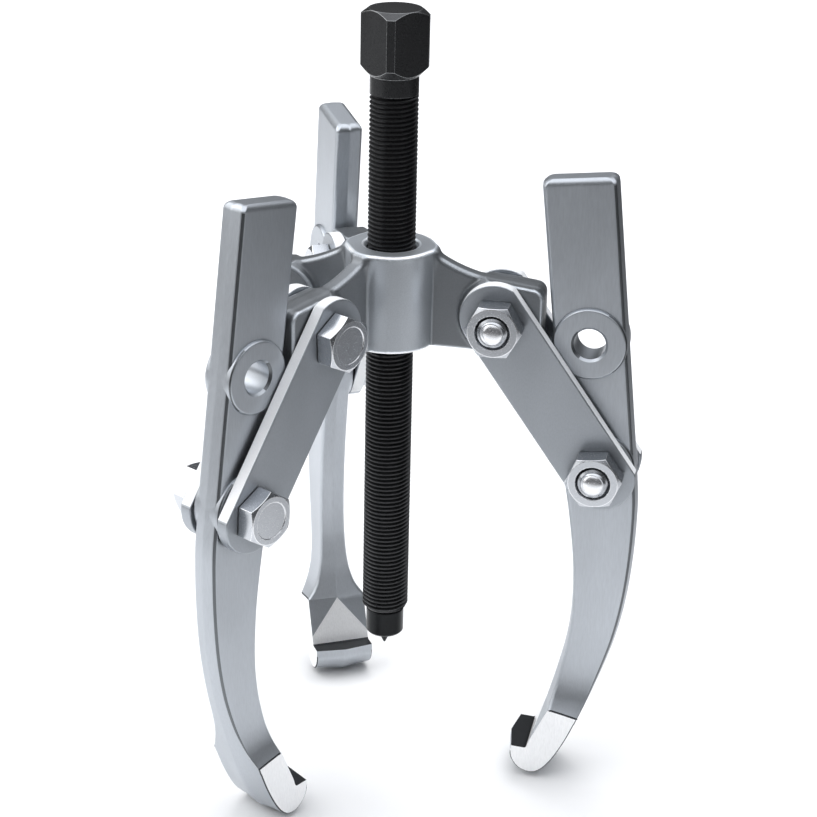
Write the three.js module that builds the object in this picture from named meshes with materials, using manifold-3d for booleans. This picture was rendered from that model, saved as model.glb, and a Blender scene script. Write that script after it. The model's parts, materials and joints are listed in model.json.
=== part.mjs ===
// Three-arm gear puller. Millimetres, +Z up along the forcing screw.
// The crosshead has four lugs: three carry an arm each and the fourth is spare, for two-arm work.
// An arm is a pair of flat links, a forged jaw and two hexagon bolts with nuts.
import * as THREE from "three";
import { mergeVertices } from "three/addons/utils/BufferGeometryUtils.js";
import Module from "manifold-3d";

const wasm = await Module();
wasm.setup();

// Heights in this file are above the crosshead's flat bottom. The finished group is moved down so
// that the origin is the centre of the flat top of the screw's square head.
const HEAD_TOP = 112.5;

// Screw
const THREAD_R = 8;
const SQUARE_AF = 17.5;
const STOCK_R = 11.1;
const SQUARE_TURN = 50;
const HEAD_FLAT_R = 8.6;
const HEAD_CHAMFER = 1.9;
const HEAD_BOTTOM = 94.3;
const NECK_TOP = 90.9;
const SCREW_END = -101;
const END_CHAMFER = 2.4;
const SOCKET_R = 3.8;
const SOCKET_TOP = -88;

// Live centre
const CENTRE_R = 6.6;
const CENTRE_TOP = -101.4;
const CENTRE_FLAT = -110.7;
const CONE_R = 2.8;
const CONE_TIP = -116;
const SPIGOT_R = 3.5;
const SPIGOT_TOP = -90;

// Crosshead
const HUB_R = 15;
const HUB_HEIGHT = 34;
const BORE_R = 8.3;
const LUG_HALF = 3;
const LUG_END = 52;
const LUG_TOP = 25;
const PAD_HALF = 5.9;
const PAD_R = 13.6;
const LUG_ANGLES = [0, 120, 180, 240];

// Arms
const ARM_ANGLES = [0, 120, 240];
const JAW_LEAN = [6.6, 7, 7.6];
const UPPER_PIVOT = [37.8, 12.7];
const LOWER_PIVOT = [73.2, -36.8];
const HOLE_R = 5.3;

// Links
const LINK_INNER = 6.2;
const LINK_THICK = 4.5;
const LINK_HALF_WIDTH = 11.3;
const LINK_END_R = 11.8;
const LINK_END_SIDE = 0.5;
const LINK_END_OUT = 1.8;

// Bolts and nuts
const BOLT_R = 5;
const HEX_AF = 17;
const HEAD_T = 6.4;
const NUT_T = 8;
const BOLT_TAIL = 2.2;
const GAP = 0.3;

// Edges shorter than this, left where two solids meet, are closed up.
const SLIVER = 0.03;

// Jaw, in its own frame: x outward and y up from the lower pivot
const SPARE_HOLE = 44;
const BOSS_R = 12.4;
const BOSS_HALF = 5.9;
const FOOT_HALF = 11;
const CHAMFER = 1.2;
const RIDGE = 0.7;
// Each row is the outer and the inner point of one cross-section, then its half thickness.
const JAW_SECTIONS = [
  [12.0, 99.8, -12.0, 99.8, 4.0],
  [12.6, 98.6, -12.6, 98.6, 4.8],
  [12.6, 50.0, -12.6, 50.0, 4.8],
  [12.6, -2.0, -12.6, -4.0, 4.8],
  [12.2, -14.0, -11.9, -14.0, 4.8],
  [11.0, -25.0, -11.5, -25.0, 4.8],
  [9.3, -36.0, -11.5, -36.0, 4.8],
  [7.0, -47.5, -12.2, -47.0, 4.8],
  [4.2, -58.0, -13.7, -57.5, 4.8],
  [0.8, -68.0, -16.0, -67.0, 4.9],
  [-3.2, -77.5, -18.8, -75.5, 5.4],
  [-6.2, -84.0, -20.9, -81.5, 6.4],
  [-8.8, -89.5, -22.7, -86.3, 8.4],
  [-11.0, -93.6, -24.2, -89.6, 10.6],
  [-16.0, -101.5, -28.6, -99.5, 10.4],
];
const FOOT = [
  [-11.4, -94.4],
  [-24.0, -89.9],
  [-31.4, -105.8],
  [-38.2, -104.6],
  [-38.9, -108.5],
  [-37.6, -112.6],
  [-34.6, -115.8],
  [-30.4, -117.0],
  [-26.2, -115.6],
  [-21.6, -111.0],
  [-16.4, -103.4],
];

const GREY = { plated: 0x8f949b, casting: 0x80858c, bright: 0xb9bec5, black: 0x1c1d1f };

function material(colour, roughness, metalness) {
  return new THREE.MeshStandardMaterial({ color: colour, roughness, metalness });
}

const PLATED = material(GREY.plated, 0.42, 0.85);
const FORGED = material(GREY.casting, 0.45, 0.85);
const BRIGHT = material(GREY.bright, 0.3, 0.9);
const BLACK = material(GREY.black, 0.4, 0.5);

function solid(geometry) {
  const plain = geometry.index ? geometry.toNonIndexed() : geometry.clone();
  plain.deleteAttribute("normal");
  plain.deleteAttribute("uv");
  const merged = mergeVertices(plain, 1e-4);
  return new wasm.Manifold(
    new wasm.Mesh({
      numProp: 3,
      vertProperties: new Float32Array(merged.attributes.position.array),
      triVerts: new Uint32Array(merged.index.array),
    }),
  );
}

function geometryOf(made) {
  const mesh = made.getMesh();
  const geometry = new THREE.BufferGeometry();
  geometry.setAttribute("position", new THREE.BufferAttribute(mesh.vertProperties, 3));
  geometry.setIndex(new THREE.BufferAttribute(mesh.triVerts, 1));
  const flat = geometry.toNonIndexed();
  flat.computeVertexNormals();
  return flat;
}

// A closed loop of [x, y] points, counter-clockwise, extruded from z = low to z = high.
function slab(points, low, high) {
  const shape = new THREE.Shape(points.map(([x, y]) => new THREE.Vector2(x, y)));
  const geometry = new THREE.ExtrudeGeometry(shape, { depth: high - low, bevelEnabled: false });
  return geometry.translate(0, 0, low);
}

// A profile of [radius, height] points turned about Y, from the axis round to the axis again.
function turned(profile, segments) {
  return new THREE.LatheGeometry(
    profile.map(([r, y]) => new THREE.Vector2(r, y)),
    segments,
  );
}

// A cutter along Y for a hole through -half..half with a chamfer at each mouth.
function holeCutter(radius, half, chamfer) {
  const out = half + 1;
  const wide = radius + chamfer + 1;
  return turned(
    [
      [0, -out],
      [wide, -out],
      [radius, -half + chamfer],
      [radius, half - chamfer],
      [wide, out],
      [0, out],
    ],
    20,
  );
}

// The plane of an arm has x outward and y up. This stands it upright, so that y becomes Z.
function upright(geometry) {
  return geometry.rotateX(Math.PI / 2);
}

// A piece that is turned about Y, moved to a point of the arm's plane.
function across(geometry, [x, z]) {
  return geometry.translate(x, 0, z);
}

function union(list) {
  return list.reduce((a, b) => a.add(b));
}

function arc(cx, cy, r, from, to, steps) {
  const points = [];
  for (let i = 0; i <= steps; i++) {
    const a = from + ((to - from) * i) / steps;
    points.push([cx + r * Math.cos(a), cy + r * Math.sin(a)]);
  }
  return points;
}

function hexagon(height, low, phase) {
  const geometry = new THREE.CylinderGeometry(
    HEX_AF / Math.sqrt(3),
    HEX_AF / Math.sqrt(3),
    height,
    6,
    1,
    false,
    THREE.MathUtils.degToRad(90 - phase),
  );
  return solid(geometry.translate(0, low + height / 2, 0));
}

// ---- crosshead ----

function lugOutline() {
  const points = [
    [9, 0],
    [LUG_END - 1.5, 0],
    [LUG_END, 1.5],
    [LUG_END, LUG_TOP - 7],
    [LUG_END - 0.6, LUG_TOP - 3],
    [LUG_END - 2.4, LUG_TOP - 1],
  ];
  const sweep = new THREE.QuadraticBezierCurve(
    new THREE.Vector2(40, LUG_TOP),
    new THREE.Vector2(25.5, LUG_TOP + 0.4),
    new THREE.Vector2(13.6, HUB_HEIGHT - 0.3),
  );
  sweep.getPoints(6).forEach((p) => points.push([p.x, p.y]));
  points.push([9, HUB_HEIGHT - 0.3]);
  return points;
}

function crosshead() {
  const hub = turned(
    [
      [0, 0],
      [HUB_R - 0.8, 0],
      [HUB_R, 0.8],
      [HUB_R, HUB_HEIGHT - 1],
      [HUB_R - 1, HUB_HEIGHT],
      [0, HUB_HEIGHT],
    ],
    40,
  ).rotateX(Math.PI / 2);
  const outline = lugOutline();
  const web = solid(upright(slab(outline, -LUG_HALF, LUG_HALF)));
  const padDisc = turned(
    [
      [0, -PAD_HALF],
      [PAD_R - 0.4, -PAD_HALF],
      [PAD_R + 0.8, -LUG_HALF + 0.1],
      [PAD_R + 0.8, LUG_HALF - 0.1],
      [PAD_R - 0.4, PAD_HALF],
      [0, PAD_HALF],
    ],
    28,
  );
  const padLimit = solid(upright(slab(outline, -PAD_HALF - 1, PAD_HALF + 1)));
  const endReach = PAD_R + 5;
  const padEnd = new THREE.BoxGeometry(endReach, 2 * PAD_HALF, 3 * PAD_R);
  padEnd.translate(UPPER_PIVOT[0] + endReach / 2, 0, UPPER_PIVOT[1]);
  const pad = solid(across(padDisc, UPPER_PIVOT))
    .add(solid(padEnd))
    .intersect(padLimit);
  const hole = solid(across(holeCutter(HOLE_R, PAD_HALF, 0.6), UPPER_PIVOT));
  const lug = web.add(pad).subtract(hole);
  const bore = turned(
    [
      [0, -1],
      [BORE_R + 1.9, -1],
      [BORE_R, 0.9],
      [BORE_R, HUB_HEIGHT - 0.9],
      [BORE_R + 1.9, HUB_HEIGHT + 1],
      [0, HUB_HEIGHT + 1],
    ],
    28,
  ).rotateX(Math.PI / 2);
  const lugs = LUG_ANGLES.map((angle) => lug.rotate([0, 0, angle]));
  return union([solid(hub), ...lugs]).subtract(solid(bore));
}

// ---- links ----

function link(side) {
  const [ux, uz] = UPPER_PIVOT;
  const [lx, lz] = LOWER_PIVOT;
  const length = Math.hypot(lx - ux, lz - uz);
  const low = -length - LINK_END_OUT;
  const cut = Math.acos((LINK_HALF_WIDTH - LINK_END_SIDE) / LINK_END_R);
  const points = [
    ...arc(LINK_END_SIDE, low, LINK_END_R, -Math.PI, -cut, 11),
    ...arc(LINK_END_SIDE, LINK_END_OUT, LINK_END_R, cut, Math.PI, 11),
  ];
  const from = side > 0 ? -LINK_INNER - LINK_THICK : LINK_INNER;
  const plate = solid(upright(slab(points, from, from + LINK_THICK)));
  const drill = turned(
    [
      [0, -20],
      [HOLE_R, -20],
      [HOLE_R, 20],
      [0, 20],
    ],
    20,
  );
  const upper = solid(drill.clone());
  const lower = solid(drill.clone().translate(0, 0, -length));
  const swing = THREE.MathUtils.radToDeg(Math.atan2(lx - ux, uz - lz));
  return plate
    .subtract(upper)
    .subtract(lower)
    .rotate([0, -swing, 0])
    .translate([ux, 0, uz]);
}

// ---- jaws ----

// A ring of ten points round a bar: flat faces, chamfered corners and a parting ridge on each edge.
function barSection([ox, oy, ix, iy, half]) {
  const length = Math.hypot(ox - ix, oy - iy);
  const dx = (ox - ix) / length;
  const dy = (oy - iy) / length;
  const cut = Math.min(CHAMFER, half / 2);
  const at = (along, thick) => [ix + dx * along, iy + dy * along, thick];
  return [
    at(0, 0),
    at(RIDGE, -half + cut),
    at(RIDGE + cut, -half),
    at(length - RIDGE - cut, -half),
    at(length - RIDGE, -half + cut),
    at(length, 0),
    at(length - RIDGE, half - cut),
    at(length - RIDGE - cut, half),
    at(RIDGE + cut, half),
    at(RIDGE, half - cut),
  ];
}

// A closed skin over rings that all have the same number of points.
function loft(rings) {
  const count = rings[0].length;
  const positions = rings.flat(2);
  const index = [];
  for (let k = 0; k + 1 < rings.length; k++) {
    for (let j = 0; j < count; j++) {
      const a = k * count + j;
      const b = k * count + ((j + 1) % count);
      index.push(a, b, a + count, b, b + count, a + count);
    }
  }
  const last = (rings.length - 1) * count;
  for (let j = 1; j + 1 < count; j++) {
    index.push(0, j + 1, j);
    index.push(last, last + j, last + j + 1);
  }
  const geometry = new THREE.BufferGeometry();
  geometry.setAttribute("position", new THREE.Float32BufferAttribute(positions, 3));
  geometry.setIndex(index);
  return geometry;
}

function jaw(lean) {
  const shank = solid(upright(loft(JAW_SECTIONS.map(barSection))));
  const shape = new THREE.Shape(FOOT.map(([x, y]) => new THREE.Vector2(x, y)));
  const footGeometry = new THREE.ExtrudeGeometry(shape, {
    depth: 2 * (FOOT_HALF - CHAMFER),
    bevelThickness: CHAMFER,
    bevelSize: CHAMFER,
    bevelOffset: -CHAMFER,
    bevelSegments: 1,
  });
  const foot = solid(upright(footGeometry.translate(0, 0, -FOOT_HALF + CHAMFER)));
  const bossProfile = [
    [0, -BOSS_HALF],
    [BOSS_R - 0.8, -BOSS_HALF],
    [BOSS_R, -BOSS_HALF + 0.8],
    [BOSS_R, BOSS_HALF - 0.8],
    [BOSS_R - 0.8, BOSS_HALF],
    [0, BOSS_HALF],
  ];
  const parts = [shank, foot];
  [0, SPARE_HOLE].forEach((up) => {
    parts.push(solid(across(turned(bossProfile, 28), [0, up])));
  });
  const drills = [0, SPARE_HOLE].map((up) =>
    solid(across(holeCutter(HOLE_R, BOSS_HALF, 0.7), [0, up])),
  );
  return union(parts)
    .subtract(union(drills))
    .rotate([0, -lean, 0])
    .translate([LOWER_PIVOT[0], 0, LOWER_PIVOT[1]]);
}

// ---- bolts and nuts ----

function bolt(phase, pivot) {
  const seat = LINK_INNER + LINK_THICK + GAP;
  const top = seat + HEAD_T;
  const tail = -seat - NUT_T - BOLT_TAIL;
  const corner = HEX_AF / Math.sqrt(3);
  const limit = turned(
    [
      [0, seat - 1],
      [corner + 1, seat - 1],
      [corner + 1, top - 1.1],
      [HEX_AF / 2 - 0.5, top],
      [0, top],
    ],
    24,
  );
  const head = hexagon(HEAD_T, seat, phase).intersect(solid(limit));
  const shank = turned(
    [
      [0, tail],
      [BOLT_R - 2.4, tail + 0.3],
      [BOLT_R - 0.8, tail + 1.2],
      [BOLT_R, tail + 2.4],
      [BOLT_R, seat + 1],
      [0, seat + 1],
    ],
    16,
  );
  return head.add(solid(shank)).translate([pivot[0], 0, pivot[1]]);
}

function nut(phase, pivot) {
  const seat = -LINK_INNER - LINK_THICK - GAP;
  const corner = HEX_AF / Math.sqrt(3);
  const low = seat - NUT_T;
  const limit = turned(
    [
      [0, low],
      [HEX_AF / 2 - 0.4, low],
      [corner + 0.6, low + 1.3],
      [corner + 0.6, seat - 1.3],
      [HEX_AF / 2 - 0.4, seat],
      [0, seat],
    ],
    24,
  );
  const blank = hexagon(NUT_T, low, phase).intersect(solid(limit));
  const drill = turned(
    [
      [0, low - 1],
      [HOLE_R, low - 1],
      [HOLE_R, seat + 1],
      [0, seat + 1],
    ],
    16,
  );
  return blank.subtract(solid(drill)).translate([pivot[0], 0, pivot[1]]);
}

// ---- screw and live centre ----

function forcingScrew() {
  const outline = turned(
    [
      [0, SCREW_END],
      [THREAD_R - END_CHAMFER, SCREW_END],
      [THREAD_R, SCREW_END + END_CHAMFER],
      [THREAD_R, NECK_TOP],
      [STOCK_R, HEAD_BOTTOM],
      [STOCK_R, HEAD_TOP - HEAD_CHAMFER],
      [HEAD_FLAT_R, HEAD_TOP],
      [0, HEAD_TOP],
    ],
    48,
  ).rotateX(Math.PI / 2);
  const squareHeight = 60;
  const square = new THREE.BoxGeometry(SQUARE_AF, SQUARE_AF, squareHeight);
  square.translate(0, 0, NECK_TOP + squareHeight / 2);
  const shankHeight = 220;
  const below = new THREE.BoxGeometry(2 * STOCK_R + 2, 2 * STOCK_R + 2, shankHeight);
  below.translate(0, 0, NECK_TOP + 0.4 - shankHeight / 2);
  const keep = solid(square).rotate([0, 0, SQUARE_TURN]).add(solid(below));
  const socket = turned(
    [
      [0, SCREW_END - 1],
      [SOCKET_R, SCREW_END - 1],
      [SOCKET_R, SOCKET_TOP],
      [0, SOCKET_TOP + 1.5],
    ],
    20,
  ).rotateX(Math.PI / 2);
  return solid(outline).intersect(keep).subtract(solid(socket));
}

function liveCentre() {
  return solid(
    turned(
      [
        [0, CONE_TIP],
        [CONE_R, CENTRE_FLAT],
        [CENTRE_R - 0.5, CENTRE_FLAT],
        [CENTRE_R, CENTRE_FLAT + 0.5],
        [CENTRE_R, CENTRE_TOP],
        [SPIGOT_R, CENTRE_TOP],
        [SPIGOT_R, SPIGOT_TOP],
        [0, SPIGOT_TOP],
      ],
      28,
    ).rotateX(Math.PI / 2),
  );
}

// ---- assembly ----

const group = new THREE.Group();

function place(name, made, look, angle = 0) {
  const trimmed = made.simplify(SLIVER).rotate([0, 0, angle]);
  const mesh = new THREE.Mesh(geometryOf(trimmed), look);
  mesh.name = name;
  mesh.position.z = -HEAD_TOP;
  group.add(mesh);
}

place("crosshead", crosshead(), FORGED);
place("forcing_screw", forcingScrew(), BLACK);
place("live_centre", liveCentre(), BLACK);
ARM_ANGLES.forEach((angle, i) => {
  const n = i + 1;
  place(`jaw_${n}`, jaw(JAW_LEAN[i]), PLATED, angle);
  place(`link_${n}_head_side`, link(1), PLATED, angle);
  place(`link_${n}_nut_side`, link(-1), PLATED, angle);
  place(`upper_bolt_${n}`, bolt(27, UPPER_PIVOT), BRIGHT, angle);
  place(`upper_nut_${n}`, nut(1, UPPER_PIVOT), BRIGHT, angle);
  place(`lower_bolt_${n}`, bolt(33, LOWER_PIVOT), BRIGHT, angle);
  place(`lower_nut_${n}`, nut(7, LOWER_PIVOT), BRIGHT, angle);
});

export default group;
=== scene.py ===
"""Looks of a three-arm gear puller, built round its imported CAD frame.

Every visible piece is a fine mesh that stands for one CAD node and rides on its body. Prototypes
are made in millimetres: an arm's own axes are R outward, T across and Z up, and a jaw's own axes
are V outward, T across and U up from its lower pivot.
"""

import json
import math

import bmesh
import bpy
import numpy as np
from mathutils import Matrix, Vector


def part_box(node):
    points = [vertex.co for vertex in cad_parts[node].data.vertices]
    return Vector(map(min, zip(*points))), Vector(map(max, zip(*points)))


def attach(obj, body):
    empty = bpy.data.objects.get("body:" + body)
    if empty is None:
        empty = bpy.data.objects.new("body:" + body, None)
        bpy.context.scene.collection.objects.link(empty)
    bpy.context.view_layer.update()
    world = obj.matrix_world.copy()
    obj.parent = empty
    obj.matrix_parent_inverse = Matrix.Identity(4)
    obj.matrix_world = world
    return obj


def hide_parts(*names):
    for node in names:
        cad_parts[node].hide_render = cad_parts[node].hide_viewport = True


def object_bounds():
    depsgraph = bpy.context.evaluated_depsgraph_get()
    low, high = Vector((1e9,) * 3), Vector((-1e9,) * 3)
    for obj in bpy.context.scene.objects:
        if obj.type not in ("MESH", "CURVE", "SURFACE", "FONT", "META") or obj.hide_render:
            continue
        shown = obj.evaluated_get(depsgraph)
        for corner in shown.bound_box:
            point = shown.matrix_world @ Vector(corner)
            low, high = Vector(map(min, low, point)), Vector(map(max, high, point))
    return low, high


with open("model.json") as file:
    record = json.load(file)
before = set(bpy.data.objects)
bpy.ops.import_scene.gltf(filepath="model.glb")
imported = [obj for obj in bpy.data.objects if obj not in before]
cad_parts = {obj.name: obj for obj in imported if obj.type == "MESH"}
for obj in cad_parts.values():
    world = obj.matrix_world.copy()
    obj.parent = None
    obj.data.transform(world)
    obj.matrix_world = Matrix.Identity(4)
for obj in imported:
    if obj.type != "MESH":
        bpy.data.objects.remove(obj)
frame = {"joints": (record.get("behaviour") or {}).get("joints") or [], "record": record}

cad_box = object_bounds()
MM = 0.001
# How far round the object the camera stands, in degrees.
VIEW_TURN = 12.136

# ---- sizes, in millimetres ----

# Both the forcing screw and the bolts have this pitch.
PITCH = 1.5
THREAD_R = 8.0
THREAD_DEPTH = 0.9
SQUARE_AF = 17.5
STOCK_R = 11.1
SQUARE_CORNER = math.radians(5)
HEAD_FLAT_R = 8.6
HEAD_CHAMFER = 1.9
HEAD_HEIGHT = 18.2
TAPER = 3.4
NECK = 5.9
SCREW_END_R = 6.7

CENTRE_R = 6.6
CENTRE_NECK_R = 2.6
CENTRE_BODY = 9.7
CENTRE_TIP = 15.0

HUB_R = 15.0
HUB_HEIGHT = 34.0
BORE_R = 8.3
LUG_HALF = 3.0
LUG_END = 52.0
LUG_TOP = 25.0
PAD_R = 14.2
PAD_HALF = 5.9
# A pad's rim leans in by this much for each millimetre that it stands out.
PAD_LEAN = 0.4
HOLE_R = 5.3
SPARE_LUG = math.pi

LINK_INNER = 6.2
LINK_THICK = 4.5
LINK_HALF_WIDTH = 11.3
LINK_END_R = 11.78
LINK_END_SIDE = 0.5
LINK_END_OUT = 1.8

BOLT_R = 5.0
BOLT_THREAD_DEPTH = 0.85
DOME_R = 3.95
HEX_AF = 17.0
HEX_CORNER = HEX_AF / math.sqrt(3)
# The hexagon pieces are made this much slimmer, so that they lie inside their solids.
SLIM = 0.985
HEAD_T = 6.4
NUT_T = 8.0
SEAT = LINK_INNER + LINK_THICK + 0.3
TAIL = 2.2
HEAD_PHASE = {"upper": 27, "lower": 33}
NUT_PHASE = {"upper": 1, "lower": 7}

SPARE_HOLE = 44.0
BOSS_R = 12.4
BOSS_HALF = 5.9
SHANK_HALF = 4.8
RIDGE = 0.75
FOOT_HALF = 11.0
SEAT_ANGLE = math.atan2(6.8, 1.2)
# How far the forged inside of the foot falls from its middle to its flanks, above the ground throat.
ROOF = 1.6
# How far the nose falls back from its middle to its flanks.
NOSE = 1.7
# Each row is the outer and the inner point of one cross-section of the jaw, then its half thickness.
JAW_SECTIONS = [
    (12.57, 97.4, -12.57, 97.4, SHANK_HALF),
    (12.57, 50.0, -12.57, 50.0, SHANK_HALF),
    (12.57, -2.0, -12.6, -4.0, SHANK_HALF),
    (12.2, -14.0, -11.9, -14.0, SHANK_HALF),
    (11.0, -25.0, -11.5, -25.0, SHANK_HALF),
    (9.3, -36.0, -11.5, -36.0, SHANK_HALF),
    (7.0, -47.5, -12.2, -47.0, SHANK_HALF),
    (4.2, -58.0, -13.7, -57.5, SHANK_HALF),
    (0.8, -68.0, -16.0, -67.0, 4.9),
    (-3.2, -77.5, -18.8, -75.5, 5.4),
    (-6.2, -84.0, -20.9, -81.5, 6.5),
    (-8.8, -89.5, -22.7, -86.3, 8.4),
    (-11.4, -94.4, -24.0, -89.9, 11.2),
    (-12.6, -96.6, -24.6, -92.2, 13.2),
]
FOOT_TOP = [(-11.4, -94.4), (-24.0, -89.9)]
THROAT = [(-31.4, -105.8), (-38.2, -104.6)]
FOOT_BOTTOM = [
    (-38.9, -108.5),
    (-37.6, -112.6),
    (-34.6, -115.7),
    (-30.4, -116.9),
    (-26.2, -115.5),
    (-21.6, -111.0),
    (-16.4, -103.4),
]


# ---- places, from the frame ----

joints = {j["name"]: j for j in frame["joints"]}
mounts = {m["name"]: m for m in frame["record"]["mounts"]}
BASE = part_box("crosshead")[0].z / MM


class Arm:
    """Where one arm is: its angle round the screw, its two pivots and the lean of its jaw."""

    def __init__(self, number):
        self.number = number
        upper = Vector(joints[f"link_swing_{number}"]["pos_m"]) / MM
        lower = Vector(joints[f"bolt_level_{number}"]["pos_m"]) / MM
        self.angle = math.atan2(upper.y, upper.x)
        self.upper = (upper.xy.length, upper.z)
        self.lower = (lower.xy.length, lower.z)
        normal = Vector(mounts[f"hook_seat_{number}"]["axis"])
        outward = Vector((math.cos(self.angle), math.sin(self.angle), 0))
        self.lean = math.atan2(normal.z, normal.dot(outward)) - SEAT_ANGLE

    def matrix(self):
        """From the arm's axes in millimetres to the row frame in metres."""
        return Matrix.Scale(MM, 4) @ Matrix.Rotation(self.angle, 4, "Z")

    def jaw_matrix(self):
        """From the jaw's own axes to the row frame."""
        place = Matrix.Translation((self.lower[0], 0, self.lower[1]))
        return self.matrix() @ place @ Matrix.Rotation(-self.lean, 4, "Y")


arms = [Arm(n) for n in (1, 2, 3)]
UPPER = (arms[0].upper[0], arms[0].upper[1] - BASE)
LOWER = (arms[0].lower[0], arms[0].lower[1] - BASE)


# ---- mesh tools ----

def mesh_of(points, faces, name="made"):
    """A mesh from points and faces, with its normals turned outward."""
    mesh = bpy.data.meshes.new(name)
    mesh.from_pydata([tuple(map(float, p)) for p in points], [], faces)
    bm = bmesh.new()
    bm.from_mesh(mesh)
    bmesh.ops.recalc_face_normals(bm, faces=bm.faces)
    bm.to_mesh(mesh)
    bm.free()
    return mesh


def linked(mesh):
    obj = bpy.data.objects.new(mesh.name, mesh)
    bpy.context.scene.collection.objects.link(obj)
    return obj


def settled(obj):
    """The object's mesh with its modifiers applied. The object is removed."""
    graph = bpy.context.evaluated_depsgraph_get()
    mesh = bpy.data.meshes.new_from_object(
        obj.evaluated_get(graph), preserve_all_data_layers=True, depsgraph=graph
    )
    bpy.data.objects.remove(obj)
    return mesh


def combined(base, tool, operation):
    """The union, difference or overlap of two closed meshes."""
    first = linked(base)
    second = linked(tool)
    modifier = first.modifiers.new("combine", "BOOLEAN")
    modifier.operation = operation
    modifier.solver = "EXACT"
    modifier.object = second
    mesh = settled(first)
    bpy.data.objects.remove(second)
    return mesh


def bevelled(mesh, width, segments=3, angle=30, edge_slot=-1):
    """Rounds the edges sharper than angle, and gives the new faces the material of edge_slot."""
    while edge_slot >= len(mesh.materials):
        mesh.materials.append(None)
    obj = linked(mesh)
    modifier = obj.modifiers.new("edges", "BEVEL")
    modifier.width = width
    modifier.segments = segments
    modifier.limit_method = "ANGLE"
    modifier.angle_limit = math.radians(angle)
    modifier.material = edge_slot
    modifier.use_clamp_overlap = True
    modifier.miter_outer = "MITER_ARC"
    return settled(obj)


def smoothed(mesh, angle=30):
    """Smooth shading, with edges sharper than angle kept and flat faces kept flat."""
    mesh.shade_smooth()
    mesh.set_sharp_from_angle(angle=math.radians(angle))
    obj = linked(mesh)
    modifier = obj.modifiers.new("normals", "WEIGHTED_NORMAL")
    modifier.keep_sharp = True
    modifier.weight = 90
    return settled(obj)


def prism(outline, low, high):
    """An outline in the arm's plane, extruded across it from T = low to T = high."""
    n = len(outline)
    points = [(r, low, z) for r, z in outline] + [(r, high, z) for r, z in outline]
    faces = [list(range(n)), list(range(2 * n - 1, n - 1, -1))]
    faces += [[i, (i + 1) % n, n + (i + 1) % n, n + i] for i in range(n)]
    return mesh_of(points, faces)


def turned(profile, segments, centre=(0, 0), axis="T"):
    """A closed solid turned from [radius, place along the axis] points that start and end at 0."""
    points, rings = [], []
    for radius, along in profile:
        count = 1 if radius == 0 else segments
        rings.append([len(points) + k for k in range(count)])
        for k in range(count):
            a = 2 * math.pi * k / segments
            x, y = radius * math.cos(a), radius * math.sin(a)
            points.append((centre[0] + x, along, centre[1] + y) if axis == "T" else (x, y, along))
    faces = []
    for first, second in zip(rings, rings[1:]):
        for k in range(segments):
            loop = [first[k % len(first)], first[(k + 1) % len(first)]]
            loop += [second[(k + 1) % len(second)], second[k % len(second)]]
            loop = list(dict.fromkeys(loop))
            if len(loop) > 2:
                faces.append(loop)
    return mesh_of(points, faces)


def lofted(rings):
    """A closed solid through rings that have the same number of points."""
    n = len(rings[0])
    points = [p for ring in rings for p in ring]
    faces = [list(range(n)), list(range(len(points) - n, len(points)))]
    for k in range(len(rings) - 1):
        for j in range(n):
            a, b = k * n + j, k * n + (j + 1) % n
            faces.append([a, b, b + n, a + n])
    return mesh_of(points, faces)


def rounded(corners, radii, steps=4):
    """A closed polygon with each corner made an arc of its own radius."""
    made = []
    for i, corner in enumerate(corners):
        here = Vector(corner)
        back = Vector(corners[i - 1]) - here
        ahead = Vector(corners[(i + 1) % len(corners)]) - here
        if radii[i] <= 0:
            made.append(tuple(here))
            continue
        half = back.angle(ahead) / 2
        cut = min(radii[i] / math.tan(half), 0.48 * min(back.length, ahead.length))
        radius = cut * math.tan(half)
        back.normalize()
        ahead.normalize()
        centre = here + (back + ahead).normalized() * (radius / math.sin(half))
        start = here + back * cut - centre
        end = here + ahead * cut - centre
        first = math.atan2(start.y, start.x)
        sweep = (math.atan2(end.y, end.x) - first + math.pi) % (2 * math.pi) - math.pi
        for k in range(steps + 1):
            a = first + sweep * k / steps
            made.append((centre.x + radius * math.cos(a), centre.y + radius * math.sin(a)))
    return made


def spline(rows, steps):
    """A Catmull-Rom curve through rows of numbers, with steps pieces between each two rows."""
    rows = np.array(rows, float)
    padded = np.vstack([2 * rows[0] - rows[1], rows, 2 * rows[-1] - rows[-2]])
    made = []
    for i in range(1, len(padded) - 2):
        a, b, c, d = padded[i - 1 : i + 3]
        square = 2 * a - 5 * b + 4 * c - d
        cube = 3 * b - a - 3 * c + d
        for k in range(steps):
            s = k / steps
            made.append(0.5 * (2 * b + (c - a) * s + square * s**2 + cube * s**3))
    made.append(rows[-1])
    return np.array(made)


def arc(centre, radius, start, end, steps):
    """Points round part of a circle, from the angle start to the angle end."""
    angles = [start + (end - start) * k / steps for k in range(steps + 1)]
    return [(centre[0] + radius * math.cos(a), centre[1] + radius * math.sin(a)) for a in angles]


# ---- surface of a distance field, for the forged crosshead ----

# A distance larger than any in the field.
FAR = 1e9


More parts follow.
